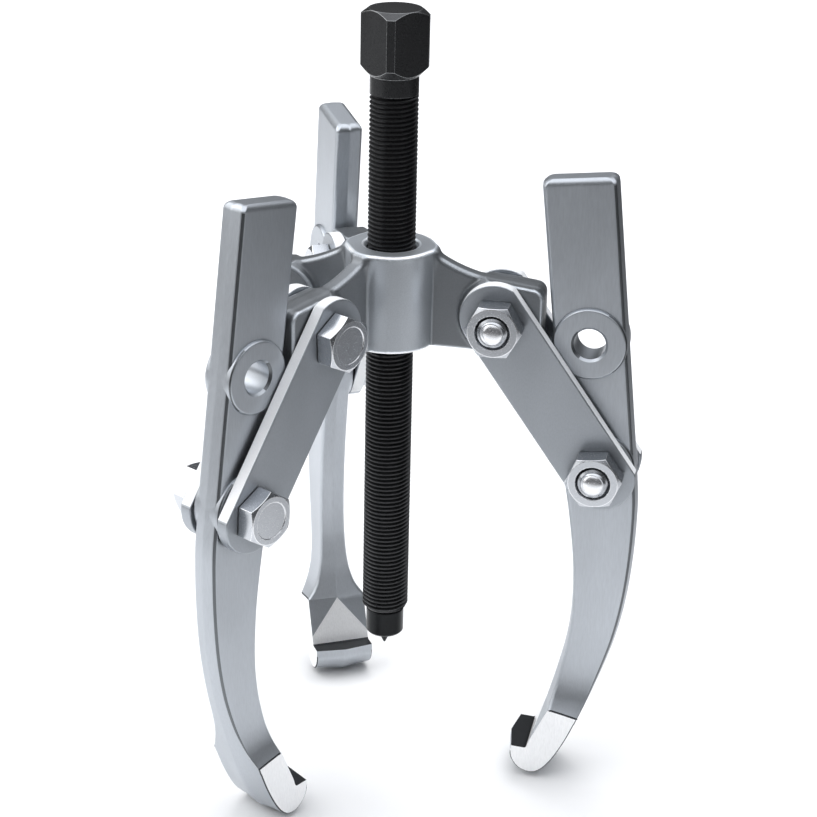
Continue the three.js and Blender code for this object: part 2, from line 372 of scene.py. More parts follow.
def surface_net(field, origin, step):
    """Vertices and quads of the zero surface of a grid of distances that are negative inside."""
    corners = [(i, j, k) for i in (0, 1) for j in (0, 1) for k in (0, 1)]
    cells = tuple(n - 1 for n in field.shape)

    def shifted(array, offset):
        return array[tuple(slice(o, o + n) for o, n in zip(offset, cells))]

    inside = field < 0
    count = sum(shifted(inside, c).astype(np.int8) for c in corners)
    active = (count > 0) & (count < 8)
    index = np.full(cells, -1, np.int64)
    index[active] = np.arange(active.sum())
    total = np.zeros((active.sum(), 3))
    crossings = np.zeros(active.sum())
    for axis in range(3):
        for corner in corners:
            if corner[axis]:
                continue
            far = tuple(c + (1 if a == axis else 0) for a, c in enumerate(corner))
            near_value = shifted(field, corner)[active]
            far_value = shifted(field, far)[active]
            crosses = (near_value < 0) != (far_value < 0)
            share = np.where(crosses, near_value / np.where(crosses, near_value - far_value, 1), 0)
            place = np.tile(np.array(corner, float), (len(share), 1))
            place[:, axis] += share
            total[crosses] += place[crosses]
            crossings += crosses
    cell_corner = np.argwhere(active)
    points = np.array(origin) + step * (cell_corner + total / crossings[:, None])
    quads = []
    for axis in range(3):
        u, v = [a for a in range(3) if a != axis]
        inner = [slice(1, -1)] * 3
        inner[axis] = slice(0, field.shape[axis] - 1)
        near = inside[tuple(inner)]
        after = list(inner)
        after[axis] = slice(1, field.shape[axis])
        far = inside[tuple(after)]
        for where, flip in ((near & ~far, False), (~near & far, True)):
            found = np.argwhere(where)
            found[:, u] += 1
            found[:, v] += 1
            ring = []
            for du, dv in ((-1, -1), (0, -1), (0, 0), (-1, 0)):
                cell = found.copy()
                cell[:, u] += du
                cell[:, v] += dv
                ring.append(index[tuple(cell.T)])
            ring = np.stack(ring, 1)
            quads.append(ring[:, ::-1] if flip else ring)
    return points, np.vstack(quads)


def outline_distance(outline, grid_r, grid_z):
    """Signed distances, negative inside, from a grid of points to a closed outline."""
    r, z = np.meshgrid(grid_r, grid_z, indexing="ij")
    best = np.full(r.shape, FAR)
    inside = np.zeros(r.shape, bool)
    for (r0, z0), (r1, z1) in zip(outline, outline[1:] + outline[:1]):
        dr, dz = r1 - r0, z1 - z0
        share = np.clip(((r - r0) * dr + (z - z0) * dz) / (dr * dr + dz * dz), 0, 1)
        best = np.minimum(best, np.hypot(r - r0 - share * dr, z - z0 - share * dz))
        spans = (z0 > z) != (z1 > z)
        crossing = r0 + (z - z0) * dr / (dz if abs(dz) > 1e-12 else 1e-12)
        inside ^= spans & (r < crossing)
    return np.where(inside, -best, best)


def sampled(table, grid_r, grid_z, r, z):
    """Values of a table of distances between its grid points."""
    fr = np.clip((r - grid_r[0]) / (grid_r[1] - grid_r[0]), 0, len(grid_r) - 1.001)
    fz = np.clip((z - grid_z[0]) / (grid_z[1] - grid_z[0]), 0, len(grid_z) - 1.001)
    i, j = fr.astype(int), fz.astype(int)
    a, b = fr - i, fz - j
    low = table[i, j] * (1 - a) + table[i + 1, j] * a
    high = table[i, j + 1] * (1 - a) + table[i + 1, j + 1] * a
    return low * (1 - b) + high * b


def edge_rounded(first, second, radius):
    """The overlap of two solids, with their shared edge rounded."""
    a, b = first + radius, second + radius
    return np.minimum(np.maximum(a, b), 0) + np.hypot(np.maximum(a, 0), np.maximum(b, 0)) - radius


def blended(first, second, width):
    """Both solids together, with a fillet between them."""
    share = np.clip(0.5 + 0.5 * (second - first) / width, 0, 1)
    return second * (1 - share) + first * share - width * share * (1 - share)


# ---- crosshead ----

def lug_outline():
    """A lug from the side: a round outer corner, then a hollow sweep up to the hub's top."""
    start = Vector((40, LUG_TOP))
    pull = Vector((25.5, LUG_TOP + 0.4))
    end = Vector((13.6, HUB_HEIGHT - 0.3))
    steps = 24
    sweep = []
    for k in range(steps + 1):
        s = k / steps
        sweep.append(tuple(start * (1 - s) ** 2 + pull * 2 * s * (1 - s) + end * s * s))
    round_r = 3.6
    corner = arc((LUG_END - round_r, LUG_TOP - 1.0 - round_r), round_r, 0, math.pi / 2, 8)
    return [(0, 0), (LUG_END - 1.0, 0), (LUG_END, 1.0)] + corner + sweep + [(0, HUB_HEIGHT + 3)]


def lug_field(r, t, z, outline):
    """A lug from its outline: a thin web, and a low cone round the hole that runs on to its end."""
    edge = 0.8 + 0.7 * np.clip((z - 6) / 10, 0, 1)
    web = edge_rounded(outline, np.abs(t) - LUG_HALF, edge)
    from_hole = np.hypot(r - UPPER[0], z - UPPER[1])
    cone = (from_hole - PAD_R + PAD_LEAN * np.maximum(np.abs(t) - LUG_HALF, 0)) * 0.92
    cone = np.minimum(cone, UPPER[0] - r)
    pad = edge_rounded(np.maximum(cone, outline), np.abs(t) - PAD_HALF, 0.7)
    return blended(web, pad, 0.9)


def drill_field(r, t, z):
    """The drill for a lug's bolt hole, countersunk at both mouths."""
    from_hole = np.hypot(r - UPPER[0], z - UPPER[1])
    drill = from_hole - HOLE_R - 0.7 * np.clip(np.abs(t) - PAD_HALF + 0.9, 0, 2)
    return np.where(r > 0, drill, FAR)


def crosshead_mesh(step):
    """Hub, four lugs with their round pads, the bore and the bolt holes, as one forging."""
    grid_r = np.arange(-3, 60, 0.25)
    grid_z = np.arange(-4, 42, 0.25)
    table = outline_distance(lug_outline(), grid_r, grid_z)
    reach = LUG_END + 1.5
    low = np.array((-reach, -reach * math.sin(math.radians(60)) - 4, -1.0))
    high = np.array((reach, -low[1], HUB_HEIGHT + 1.0))
    axes = [np.arange(low[a], high[a] + step, step) for a in range(3)]
    x, y, z = np.meshgrid(*axes, indexing="ij")
    rho = np.hypot(x, y)
    field = edge_rounded(rho - HUB_R, -z, 0.9)
    # The fillet between hub and lugs widens towards the hub's top.
    rise = np.clip((z - 22) / 11, 0, 1)
    fillet = 0.6 + 3.4 * rise * rise
    drills = np.full(x.shape, FAR)
    for angle in [arm.angle for arm in arms] + [SPARE_LUG]:
        r = x * math.cos(angle) + y * math.sin(angle)
        t = -x * math.sin(angle) + y * math.cos(angle)
        outline = sampled(table, grid_r, grid_z, r, z)
        field = blended(field, lug_field(r, t, z, outline), fillet)
        drills = np.minimum(drills, drill_field(r, t, z))
    field = edge_rounded(edge_rounded(field, z - HUB_HEIGHT, 0.9), -z, 0.6)
    countersink = np.maximum(np.abs(z - HUB_HEIGHT / 2) - HUB_HEIGHT / 2 + 1.1, 0)
    field = -blended(-field, np.minimum(rho - BORE_R - countersink, drills), 0.25)
    points, quads = surface_net(field, low, step)
    points[:, 2] += BASE
    mesh = mesh_of(points * MM, quads.tolist(), "crosshead")
    mesh.shade_smooth()
    return mesh


# ---- screw ----

def square_radius(angle):
    """Distance from the axis to the square's side, or to the round stock at its corners."""
    turn = (angle - SQUARE_CORNER + math.pi / 4) % (math.pi / 2) - math.pi / 4
    return min(STOCK_R, SQUARE_AF / 2 / math.cos(math.pi / 4 - abs(turn)))


def screw_head():
    """Square head with a turned top chamfer, a tapered underside and a plain neck."""
    corner = math.pi / 4 - math.acos(SQUARE_AF / 2 / STOCK_R)
    side = math.pi / 2 - 2 * corner
    side_steps = 18
    angles = []
    for quarter in range(4):
        centre = SQUARE_CORNER + quarter * math.pi / 2
        angles += [centre + corner * s for s in (-1, -0.5, 0, 0.5)]
        angles += [centre + corner + side * k / side_steps for k in range(side_steps)]
    slope = HEAD_CHAMFER / (STOCK_R - HEAD_FLAT_R)
    under = -HEAD_HEIGHT - TAPER
    columns = []
    for a in angles:
        radius = square_radius(a)
        column = [
            (HEAD_FLAT_R, 0),
            (radius, -(radius - HEAD_FLAT_R) * slope),
            (radius, under + radius - THREAD_R),
            (THREAD_R, under),
            (THREAD_R, under - NECK),
        ]
        columns.append([(r * math.cos(a), r * math.sin(a), z) for r, z in column])
    mesh = lofted(list(zip(*columns)))
    # The bevels take slot 1, the painted highlight of black_highlight.
    return smoothed(bevelled(mesh, 0.32, 3, 28, 1), 35)


def thread(radius, depth, low, high, sides, start_chamfer, run_out, end_r):
    """A right-hand screw thread from low to high. It is chamfered at low and runs out at high."""
    # Each point of one turn's section is a share of the pitch and a share of the depth.
    shape = [(0.0, 0.0), (0.125, 0.0), (0.44, 1.0), (0.56, 1.06), (0.69, 1.0)]
    per = len(shape)
    first = math.floor(low / PITCH) - 1
    last = math.ceil(high / PITCH) + 1
    n = np.arange((last - first) * per)
    share = np.array([s for s, _ in shape])[n % per]
    cut = np.array([d for _, d in shape])[n % per]
    turn = np.arange(sides) / sides
    z = (first + n // per + share)[:, None] * PITCH + turn[None, :] * PITCH
    z = np.clip(z, low, high)
    fade = np.clip((high - z) / run_out, 0, 1)
    r = radius - depth * cut[:, None] * fade
    r = np.minimum(r, end_r + (radius - end_r) * np.clip((z - low) / start_chamfer, 0, 1))
    a = 2 * math.pi * turn[None, :]
    points = np.stack([r * np.cos(a), r * np.sin(a), z], 2).reshape(-1, 3)
    faces = []
    for row in range(len(n) - per - 1):
        for k in range(sides):
            if k + 1 < sides:
                right, above = row * sides + k + 1, (row + 1) * sides + k + 1
            else:
                right, above = (row + per) * sides, (row + per + 1) * sides
            faces.append([row * sides + k, right, above, (row + 1) * sides + k])
    bm = bmesh.new()
    mesh = bpy.data.meshes.new("thread")
    mesh.from_pydata(points.tolist(), [], faces)
    bm.from_mesh(mesh)
    bmesh.ops.remove_doubles(bm, verts=bm.verts, dist=1e-4)
    bmesh.ops.dissolve_degenerate(bm, edges=bm.edges, dist=1e-4)
    flat = [f for f in bm.faces if f.calc_area() < 1e-7]
    bmesh.ops.delete(bm, geom=flat, context="FACES")
    loose = [v for v in bm.verts if not v.link_faces]
    bmesh.ops.delete(bm, geom=loose, context="VERTS")
    bmesh.ops.holes_fill(bm, edges=[e for e in bm.edges if e.is_boundary], sides=0)
    bmesh.ops.recalc_face_normals(bm, faces=bm.faces)
    bm.to_mesh(mesh)
    bm.free()
    mesh.shade_smooth()
    mesh.set_sharp_from_angle(angle=math.radians(35))
    return mesh


def screw_mesh(end):
    """Head, neck and thread, with the thread's lower end at end."""
    neck_end = -HEAD_HEIGHT - TAPER - NECK
    shaft = thread(THREAD_R, THREAD_DEPTH, end, neck_end + 0.4, 80, 1.3, 1.2, SCREW_END_R)
    return joined([screw_head(), shaft])


def live_centre_mesh(end):
    """The loose point: a body with a plain rim below the screw's end, and a slim cone."""
    top = end - 0.4
    base = end - CENTRE_BODY
    profile = [
        (0, top),
        (CENTRE_R - 0.4, top),
        (CENTRE_R, top - 0.4),
        (CENTRE_R, base + 0.6),
        (CENTRE_R - 0.5, base),
        (CENTRE_NECK_R + 0.3, base),
        (CENTRE_NECK_R, base - 0.3),
        (0.35, end - CENTRE_TIP + 0.25),
        (0, end - CENTRE_TIP),
    ]
    return smoothed(turned(profile, 72, axis="Z"), 25)


def joined(meshes):
    """One mesh that holds the faces of several, with their material numbers."""
    bm = bmesh.new()
    for mesh in meshes:
        bm.from_mesh(mesh)
    made = bpy.data.meshes.new("joined")
    bm.to_mesh(made)
    bm.free()
    return made


# ---- jaw ----

def crown(t):
    """How far the outer and lower faces fall away from their parting line, at t from it."""
    return RIDGE * min(abs(t) / SHANK_HALF, 1.0) + 0.06 * max(abs(t) - SHANK_HALF, 0.0)


def jaw_ring(row, inset_w=0.0, inset_t=0.0):
    """Points of one cross-section: flat faces, round corners and a parting ridge on each edge."""
    outer, inner, half = Vector(row[0:2]), Vector(row[2:4]), row[4] - inset_t
    along = outer - inner
    length = along.length
    along.normalize()
    flare = max(0.0, (row[4] - SHANK_HALF) / (FOOT_HALF - SHANK_HALF))
    # Inside the bend, the parting ridge grows into the roof over the ground throat.
    roof_share = min(max((-45 - row[3]) / 35, 0), 1)
    ridge_in = RIDGE + (ROOF - RIDGE) * roof_share
    low, high = inset_w, length - inset_w
    corners = [
        (low, 0),
        (low + ridge_in, -half),
        (high - crown(half), -half),
        (high, 0),
        (high - crown(half), half),
        (low + ridge_in, half),
    ]
    # The outer corners get sharper where the section flares into the foot.
    sharp = max(0.35, 1.5 - 2.0 * flare)
    radii = [3.0 - 2.2 * min(flare, 1), 1.5, sharp, 3.0, sharp, 1.5]
    ring = []
    for w, t in rounded(corners, radii, 4):
        ring.append((inner.x + along.x * w, t, inner.y + along.y * w))
    return ring


def jaw_shank():
    """The flat bar, rounded over at its top, and the curved arm that flares into the foot."""
    outer, outer_up, inner, inner_up, half = JAW_SECTIONS[0]
    steps = 6
    rings = []
    for k in range(steps, 0, -1):
        a = math.pi / 2 * k / steps
        rise = 2.4 * math.sin(a)
        fall = 1 - math.cos(a)
        row = (outer, outer_up + rise, inner, inner_up + rise, half)
        rings.append(jaw_ring(row, 2.8 * fall, 2.1 * fall))
    straight = spline(JAW_SECTIONS[0:3], 3)
    curved = spline(JAW_SECTIONS[2:], 6)
    rings += [jaw_ring(row) for row in straight]
    rings += [jaw_ring(row) for row in curved[1:]]
    return lofted(rings)


def foot():
    """The foot below the flare: a ground throat with a pointed top, a level seat, a crowned back."""
    steps = 10
    wall = [Vector(FOOT_TOP[1]).lerp(Vector(THROAT[0]), k / steps) for k in range(steps)]
    nose_points = 22
    front = [tuple(p) for p in wall] + rounded([wall[-1], THROAT[0], THROAT[1]], [0, 1.2, 0], 4)[1:]
    back = [tuple(p) for p in spline([THROAT[1]] + FOOT_BOTTOM + [FOOT_TOP[0]], 5)[1:]]
    outline = [Vector(p) for p in front + back]
    inward = (Vector(THROAT[0]) - Vector(FOOT_TOP[1])).normalized()
    inward = Vector((-inward.y, inward.x))
    sides = [FOOT_HALF * k / 8 for k in range(9)] + [FOOT_HALF + 1]
    levels = [-t for t in reversed(sides[1:])] + sides
    points, n = [], len(outline)
    for t in levels:
        for i, here in enumerate(outline):
            moved = here
            if i < steps:
                moved = here + inward * ROOF * max(0.0, abs(t) / FOOT_HALF - i / 8)
            elif i == len(front) - 1:
                moved = here + (outline[i - 1] - here).normalized() * NOSE * abs(t) / FOOT_HALF
            elif i >= len(front):
                tangent = outline[min(i + 1, n - 1)] - outline[i - 1]
                fade = min((i - len(front)) / nose_points, 1.0)
                depth = NOSE * abs(t) / FOOT_HALF * (1 - fade) + crown(t) * fade
                moved = here + Vector((-tangent.y, tangent.x)).normalized() * depth
            points.append((moved.x, t, moved.y))
    faces = [list(range(n)), list(range(len(points) - n, len(points)))]
    for k in range(len(levels) - 1):
        for i in range(n):
            a, b = k * n + i, k * n + (i + 1) % n
            c, d = a + n, b + n
            if i >= steps:
                faces.append([a, b, d, c])
            elif levels[k] >= 0:
                faces += [[a, b, d], [a, d, c]]
            else:
                faces += [[a, b, c], [b, d, c]]
    return mesh_of(points, faces)


def both_sides(profile):
    """A turned profile for the side T < 0, followed by its mirror image."""
    return profile + [(r, -t) for r, t in reversed(profile)]


def boss(up):
    """A round boss through the jaw, with a soft rim, at the height up."""
    rim = [(0.95, 0), (0.5, 0.15), (0.12, 0.55), (0, 1.1), (0, 1.6)]
    profile = [(0, -BOSS_HALF)] + [(BOSS_R - back, rise - BOSS_HALF) for back, rise in rim]
    return turned(both_sides(profile), 72, (0, up))


def boss_hole(up, chamfer=0.8):
    """The drill for one boss, countersunk at both mouths."""
    beyond = 2
    mouth = HOLE_R + chamfer + beyond
    profile = [(0, -BOSS_HALF - beyond), (mouth, -BOSS_HALF - beyond), (HOLE_R, chamfer - BOSS_HALF)]
    return turned(both_sides(profile), 64, (0, up))


def is_ground(centre, normal):
    """Whether a face of the jaw was ground: the foot's flanks or its throat wall."""
    if abs(normal.y) > 0.99 and abs(abs(centre.y) - FOOT_HALF) < 0.05:
        return True
    wall = (Vector(THROAT[0]) - Vector(FOOT_TOP[1])).normalized()
    off_wall = (Vector((centre.x, centre.z)) - Vector(THROAT[0])).dot(Vector((-wall.y, wall.x)))
    return centre.z < FOOT_TOP[1][1] + 0.5 and abs(off_wall) < 0.03 and abs(normal.y) < 0.02


def is_seat(centre, normal):
    """Whether a face is the hook's level seat or the fillet behind it."""
    over_seat = THROAT[1][0] < centre.x < THROAT[0][0] + 0.7
    level = THROAT[0][1] - 1.2 < centre.z < THROAT[1][1] + 1.6
    return over_seat and level and normal.z > 0.75


def is_corner(centre, normal):
    """Whether a face is on one of the shank's rounded outer corners."""
    heights = [-row[1] for row in JAW_SECTIONS]
    half = np.interp(-centre.z, heights, [row[4] for row in JAW_SECTIONS])
    turned_out = 0.35 < abs(normal.y) < 0.9 and normal.x > 0.43
    near_side = min(half, FOOT_HALF) - 1.9 < abs(centre.y) < FOOT_HALF - 0.05
    return turned_out and near_side and centre.z < 96


# Of these looks, crease and corner paint dark shade lines, and seat paints the hook's seat near black
# as shade.
JAW_LOOKS = ["plated", "ground", "crease", "corner", "seat"]


def finish_jaw(mesh):
    """Breaks the foot's outer edges, and gives each kind of face its slot in JAW_LOOKS."""
    bm = bmesh.new()
    bm.from_mesh(mesh)
    bmesh.ops.remove_doubles(bm, verts=bm.verts, dist=0.02)
    bmesh.ops.dissolve_degenerate(bm, edges=bm.edges, dist=0.02)
    for face in bm.faces:
        for test, look in ((is_ground, "ground"), (is_corner, "corner"), (is_seat, "seat")):
            if test(face.calc_center_median(), face.normal):
                face.material_index = JAW_LOOKS.index(look)
                break
    foot_edges = []
    for edge in bm.edges:
        places = [v.co for v in edge.verts]
        on_flank = all(abs(abs(p.y) - FOOT_HALF) < 1e-3 for p in places)
        level = [abs(f.normal.y) > 0.99 for f in edge.link_faces]
        if not on_flank or sum(level) != 1:
            continue
        # The throat's own edges stay sharp.
        middle = (places[0] + places[1]) / 2
        if middle.x > -22 or middle.z < -107:
            foot_edges.append(edge)
    # The broken edges take the crease look, a painted dark shade line.
    crease = JAW_LOOKS.index("crease")
    bmesh.ops.bevel(
        bm, geom=foot_edges, offset=0.35, segments=2, profile=0.5, affect="EDGES",
        clamp_overlap=False, material=crease,
    )
    bm.to_mesh(mesh)
    bm.free()
    return mesh


def jaw_mesh():
    """Shank, two bosses and foot, cut flat at the foot's flanks and drilled."""
    made = jaw_shank()
    for up in (0, SPARE_HOLE):
        made = combined(made, boss(up), "UNION")
    made = combined(made, foot(), "UNION")
    flanks = prism([(-60, -130), (60, -130), (60, 120), (-60, 120)], -FOOT_HALF, FOOT_HALF)
    made = combined(made, flanks, "INTERSECT")
    for up in (0, SPARE_HOLE):
        made = combined(made, boss_hole(up), "DIFFERENCE")
    while len(made.materials) < len(JAW_LOOKS):
        made.materials.append(None)
    return smoothed(finish_jaw(made), 32)


# ---- links, bolts and nuts ----

def link_mesh(side):
    """The plate on the bolt heads' side (side = 1) or on the nuts' side (side = -1)."""
    upper = Vector(UPPER)
    lower = Vector(LOWER)
    length = (lower - upper).length
    cut = math.acos((LINK_HALF_WIDTH - LINK_END_SIDE) / LINK_END_R)
    outline = arc((LINK_END_SIDE, -length - LINK_END_OUT), LINK_END_R, -math.pi, -cut, 28)
    outline += arc((LINK_END_SIDE, LINK_END_OUT), LINK_END_R, cut, math.pi, 28)
    low = LINK_INNER if side > 0 else -LINK_INNER - LINK_THICK
    plate = prism(outline, low, low + LINK_THICK)
    for up in (0, -length):
        drill = turned([(0, -30), (HOLE_R, -30), (HOLE_R, 30), (0, 30)], 64, (0, up))
        plate = combined(plate, drill, "DIFFERENCE")
    plate = bevelled(plate, 0.5, 3, 30, 0)
    plate.materials.append(None)
    # Outer edges that face up or sideways take slot 1, a painted highlight; those facing down keep the
    # plate's look.
    for face in plate.polygons:
        from_holes = [math.hypot(face.center.x, face.center.z - up) for up in (0, -length)]
        on_edge = abs(face.normal.y) < 0.3 and min(from_holes) > HOLE_R + 0.2
        if on_edge and face.normal.z > -0.15:
            face.material_index = 1
    plate = smoothed(plate, 40)
    swing = math.atan2(lower.x - upper.x, upper.y - lower.y)
    plate.transform(
        Matrix.Translation((upper.x, 0, upper.y + BASE)) @ Matrix.Rotation(-swing, 4, "Y")
    )
    return plate


def hexagon(phase, low, high):
    turns = [math.radians(phase + 60 * k) for k in range(6)]
    return prism([(HEX_CORNER * math.cos(a), HEX_CORNER * math.sin(a)) for a in turns], low, high)


def at_pivot(mesh, which):
    """Moves a bolt or a nut to its pivot, slimmed to lie inside its solid."""
    r, z = UPPER if which == "upper" else LOWER
    mesh.transform(Matrix.Translation((r, 0, z + BASE)) @ Matrix.Diagonal((SLIM, 1, SLIM, 1)))
    return mesh


def bolt_head(which):
    """A hexagon with a turned chamfer and a shallow round dish in its top."""
    top = SEAT + HEAD_T
    beyond = HEX_CORNER + 1
    face_r = HEX_AF / 2 - 0.35
    drop = (beyond - face_r) * 0.5
    limit = [(0, SEAT - 1), (beyond, SEAT - 1), (beyond, top - drop), (face_r, top), (0, top)]
    head = combined(hexagon(HEAD_PHASE[which], SEAT, top + 1), turned(limit, 96), "INTERSECT")
    dish = turned([(0, top - 0.25), (6.2, top - 0.25), (6.9, top + 0.5), (0, top + 0.5)], 96)
    # The bevels take slot 1, a painted highlight.
    return smoothed(bevelled(combined(head, dish, "DIFFERENCE"), 0.22, 2, 25, 1), 40)


def turned_part(profile, segments):
    mesh = turned(profile, segments)
    mesh.shade_smooth()
    mesh.set_sharp_from_angle(angle=math.radians(35))
    return mesh


def bolt_mesh(which):
    """Head, plain shank, threaded end and the dome at its tip, which is painted bright as a highlight.
    """
    end = -SEAT - NUT_T - TAIL
    plain = [(0, SEAT + 1), (BOLT_R, SEAT + 1), (BOLT_R, -SEAT - 0.5), (0, -SEAT - 0.5)]
    turns = thread(BOLT_R, BOLT_THREAD_DEPTH, 0.9, NUT_T + TAIL + 0.4, 56, 1.1, 1.0, 3.9)
    turns.transform(Matrix.Translation((0, end, 0)) @ Matrix.Rotation(math.radians(-90), 4, "X"))
    crest = [(0, end), (1.2, end + 0.06), (2.4, end + 0.3), (3.3, end + 0.7), (DOME_R, end + 1.25)]
    dome = turned_part(crest + [(DOME_R, end + 3), (0, end + 3)], 56)
    # The dome takes slot 1, the painted highlight.
    dome.polygons.foreach_set("material_index", np.ones(len(dome.polygons), np.int32))
    return at_pivot(joined([bolt_head(which), turned_part(plain, 48), turns, dome]), which)


def nut_mesh(which):
    """A hexagon nut with both ends chamfered and its bore countersunk."""
    high = -SEAT
    low = high - NUT_T
    beyond = HEX_CORNER + 1
    face_r = HEX_AF / 2 - 0.2
    drop = (beyond - face_r) * 0.55
    limit = [(0, low), (face_r, low), (beyond, low + drop)]
    limit += [(beyond, high - drop), (face_r, high), (0, high)]
    nut = combined(hexagon(NUT_PHASE[which], low - 1, high + 1), turned(limit, 96), "INTERSECT")
    sink = 0.9
    bore_r = BOLT_R + 0.15
    mouth = bore_r + sink + 1
    bore = [(0, low - 1), (mouth, low - 1), (bore_r, low + sink)]
    bore += [(bore_r, high - sink), (mouth, high + 1), (0, high + 1)]
    nut = combined(nut, turned(bore, 96), "DIFFERENCE")
    # The bevels take slot 1, a painted highlight.
    return at_pivot(smoothed(bevelled(nut, 0.2, 2, 25, 1), 40), which)


# ---- materials ----

class Nodes:
    """Short names for making one material's nodes."""

    def __init__(self, name):
        self.material = bpy.data.materials.new(name)
        self.material.use_nodes = True
        self.tree = self.material.node_tree
        self.shader = self.tree.nodes["Principled BSDF"]
        self.place = self.add("ShaderNodeTexCoord").outputs["Object"]

    def add(self, kind, **inputs):
        node = self.tree.nodes.new(kind)
        for name, value in inputs.items():
            socket = node.inputs[name.replace("_", " ")]
            if hasattr(value, "is_output"):
                self.tree.links.new(value, socket)
            else:
                socket.default_value = value
        return node

    def link(self, source, target):
        self.tree.links.new(source, target)

    def noise(self, scale, stretch=(1, 1, 1), detail=3.0):
        mapped = self.add("ShaderNodeMapping", Vector=self.place, Scale=stretch)
        made = self.add("ShaderNodeTexNoise", Vector=mapped.outputs[0], Scale=scale, Detail=detail)
        return made.outputs["Fac"]

    def ranged(self, value, low, high, start=0.3, end=0.7):
        made = self.add("ShaderNodeMapRange", Value=value)
        made.inputs["From Min"].default_value = start
        made.inputs["From Max"].default_value = end
        made.inputs["To Min"].default_value = low
        made.inputs["To Max"].default_value = high
        return made.outputs[0]

    def maths(self, first, second, operation):
        made = self.add("ShaderNodeMath")
        made.operation = operation
        self.link(first, made.inputs[0])
        self.link(second, made.inputs[1])
        return made.outputs[0]

    def times(self, first, second):
        return self.maths(first, second, "MULTIPLY")

    def tinted(self, colour, strength):
        """The colour, darker or lighter by the value strength."""
        made = self.add("ShaderNodeVectorMath")
        made.operation = "SCALE"
        made.inputs[0].default_value = colour
        self.link(strength, made.inputs["Scale"])
        return made.outputs[0]


def steel(
    name, colour, roughness, metallic, streaks, grain=0.05, clouds=0.08,
    hollow_shade=0.45, bump=0.12, wear_and_highlight=0.0, zone=None, reach=0.004,
):
    """Satin steel with fine grain, wide clouds, painted shade in its hollows and, with
    wear_and_highlight, ridges painted paler as both edge wear and highlight.

    streaks is how the grain is stretched along X, Y and Z, and reach is how far a hollow's painted
    shade goes.
    """
    n = Nodes(name)
    fine = n.noise(2600, streaks, 4)
    wide = n.noise(38, (1, 1, 0.45), 2)
    tone = n.times(n.ranged(fine, 1 - grain, 1 + grain), n.ranged(wide, 1 - clouds, 1 + clouds))
    # Painted shade: the colour darkens by hollow_shade where ambient occlusion finds hollows and
    # nearby parts.
    occlusion = n.add("ShaderNodeAmbientOcclusion", Distance=reach)
    occlusion.samples = 5
    tone = n.times(tone, n.ranged(occlusion.outputs["AO"], 1 - hollow_shade, 1.0, 0.25, 0.95))
    # Edge wear and painted highlight: the colour grows paler on sharp convex edges.
    if wear_and_highlight:
        bend = n.add("ShaderNodeNewGeometry").outputs["Pointiness"]
        tone = n.times(tone, n.ranged(bend, 1.0, 1 + wear_and_highlight, 0.51, 0.55))
    if zone:
        tone = n.times(tone, zone(n))
    n.link(n.tinted(colour, tone), n.shader.inputs["Base Color"])
    n.link(n.ranged(fine, roughness - 0.03, roughness + 0.04), n.shader.inputs["Roughness"])
    n.shader.inputs["Metallic"].default_value = metallic
    relief = n.add("ShaderNodeBump", Height=fine, Strength=bump, Distance=0.00006)
    n.link(relief.outputs[0], n.shader.inputs["Normal"])
    return n.material


def painted_height_light(low_z, high_z, low_tone, high_tone):
    """Painted light: a tone that changes up the piece, in the row frame."""
    def zone(n):
        parts = n.add("ShaderNodeSeparateXYZ", Vector=n.place)
        return n.ranged(parts.outputs["Z"], low_tone, high_tone, low_z, high_z)
    return zone


def turned_hub(n):
    """The crosshead's hub is made paler than its webs."""
    flat = n.add("ShaderNodeVectorMath", Vector=n.place)
    flat.operation = "MULTIPLY"
    flat.inputs[1].default_value = (1, 1, 0)
    size = n.add("ShaderNodeVectorMath")
    size.operation = "LENGTH"
    n.link(flat.outputs[0], size.inputs[0])
    return n.ranged(size.outputs["Value"], 2.4, 1.0, 0.0150, 0.0156)


# How the fine grain is stretched: not at all, a little, or in long lines up the piece.
EVEN = (1, 1, 1)
DRAWN = (1, 1, 0.5)
BRUSHED = (1, 1, 0.12)


def plated():
    """Zinc plate on the jaws."""
    # Painted light: the jaws grow a little paler up their height.
    zone = painted_height_light(-0.22, -0.08, 1.1, 1.15)
    return steel("plated", (0.45, 0.475, 0.505), 0.38, 0.93, BRUSHED, hollow_shade=0.2, zone=zone)


def link_plate():
    return steel("link_plate", (0.42, 0.445, 0.475), 0.40, 0.95, DRAWN, hollow_shade=0.3)


def painted_sheared_highlight():
    """Painted highlight: the sheared edge of a link, made near white."""
    return steel("painted_sheared_highlight", (0.90, 0.91, 0.92), 0.42, 0.0, EVEN, 0.03, 0.03, 0.0)


def forged():
    """The crosshead's darker forged skin, with painted shade in its hollows, and its edges painted
    bright as both wear and highlight.
    """
    return steel(
        "forged", (0.205, 0.217, 0.23), 0.36, 0.72, EVEN, 0.07, 0.1,
        hollow_shade=0.4, wear_and_highlight=3.2, zone=turned_hub, reach=0.0015,
    )


def bright_zinc():
    """Bolts and nuts."""
    return steel("bright_zinc", (0.60, 0.62, 0.65), 0.24, 1.0, EVEN, 0.04, 0.06, 0.5, 0.05)


def ground_face():
    """The feet's ground flanks and throats."""
    return steel("ground_face", (0.97, 0.975, 0.98), 0.34, 0.5, (1, 1, 0.2), 0.05, 0.04, 0.25)


def hook_seat():
    # Painted shade: the hook's seat is made near black to stand for the shade in the hook.
    return steel("hook_seat", (0.035, 0.037, 0.04), 0.34, 0.9, EVEN, 0.12, 0.15)


def painted_corner_shade():
    """Painted shade: a dark line along the jaws' rounded outer corners."""
    return steel("painted_corner_shade", (0.17, 0.18, 0.19), 0.36, 0.95, BRUSHED)


